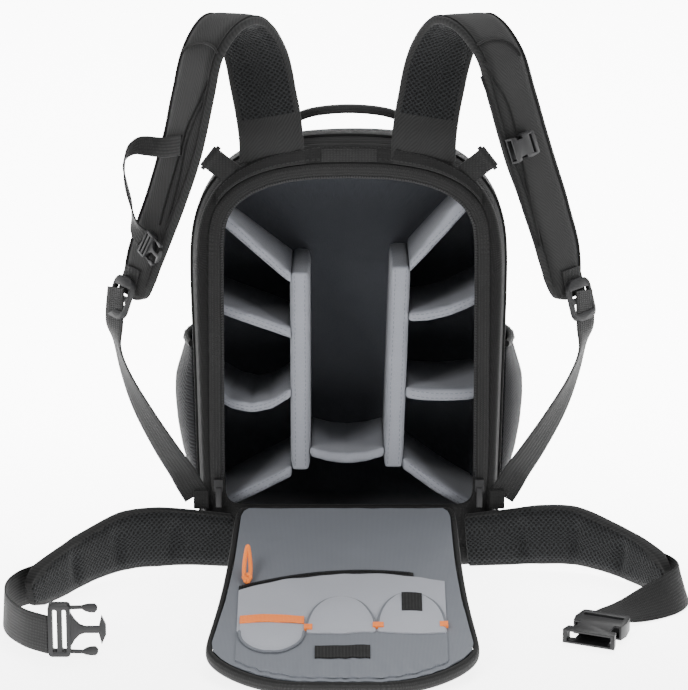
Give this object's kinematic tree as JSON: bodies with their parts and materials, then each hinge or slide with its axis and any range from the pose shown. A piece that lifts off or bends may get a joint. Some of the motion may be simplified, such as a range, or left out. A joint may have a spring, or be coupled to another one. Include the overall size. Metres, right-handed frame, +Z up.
{
  "type": "camera backpack",
  "caption": "Padded camera backpack standing open: divided interior behind a zipped back frame, back flap laid forward, shoulder straps, belt wings and buckles.",
  "frame": {"origin": "centre of the flat base that rests on the ground", "axes": "+Z up, +X to the right as seen from the wearer's side, -Y towards the wearer's side where the open flap lies"},
  "size_m": [0.6508, 0.5595, 0.5465],
  "materials": {
    "outer_cloth": "fine matt plain-weave nylon over foam",
    "divider_cloth": "brushed grey loop cloth over foam",
    "webbing": "ribbed matt nylon webbing",
    "air_mesh": "open knit mesh, matt",
    "flap_cloth": "smooth blue-grey lining cloth",
    "pocket_cloth": "light grey brushed cloth",
    "orange_trim": "bright orange cloth and cord",
    "black_plastic": "moulded black plastic, satin"
  },
  "bodies": {
    "root": {"body_shell": "outer_cloth", "body_lining": "divider_cloth", "back_rim": "outer_cloth", "zip_band": "webbing", "name_patch": "webbing", "divider_column_left": "divider_cloth", "divider_column_right": "divider_cloth", "divider_left_top": "divider_cloth", "divider_left_high": "divider_cloth", "divider_left_low": "divider_cloth", "divider_left_foot": "divider_cloth", "divider_right_top": "divider_cloth", "divider_right_high": "divider_cloth", "divider_right_low": "divider_cloth", "divider_right_foot": "divider_cloth", "divider_centre": "divider_cloth", "grab_handle": "webbing", "side_pocket_left": "air_mesh", "corner_tab_left": "webbing", "corner_bar_left": "black_plastic", "shoulder_strap_left": "outer_cloth", "ladder_lock_left": "black_plastic", "lock_tab_left": "webbing", "lower_webbing_left": "webbing", "webbing_anchor_left": "webbing", "zip_slider_left": "black_plastic", "side_pocket_right": "air_mesh", "corner_tab_right": "webbing", "corner_bar_right": "black_plastic", "shoulder_strap_right": "outer_cloth", "ladder_lock_right": "black_plastic", "lock_tab_right": "webbing", "lower_webbing_right": "webbing", "webbing_anchor_right": "webbing", "zip_slider_right": "black_plastic", "sternum_webbing": "webbing", "sternum_buckle_male": "black_plastic", "sternum_buckle_female": "black_plastic", "belt_wing_left": "air_mesh", "belt_webbing_left": "webbing", "belt_wing_right": "air_mesh", "belt_webbing_right": "webbing", "belt_buckle_male": "black_plastic", "belt_buckle_female": "black_plastic", "flap_pad": "air_mesh", "flap_binding": "webbing", "flap_lining": "flap_cloth", "flap_zip": "webbing", "flap_zip_pull": "orange_trim", "card_panel": "pocket_cloth", "card_pocket_left": "pocket_cloth", "card_pocket_middle": "pocket_cloth", "card_pocket_right": "pocket_cloth", "card_pocket_band": "orange_trim", "flap_label": "webbing", "card_label": "webbing"}
  },
  "joints": []
}
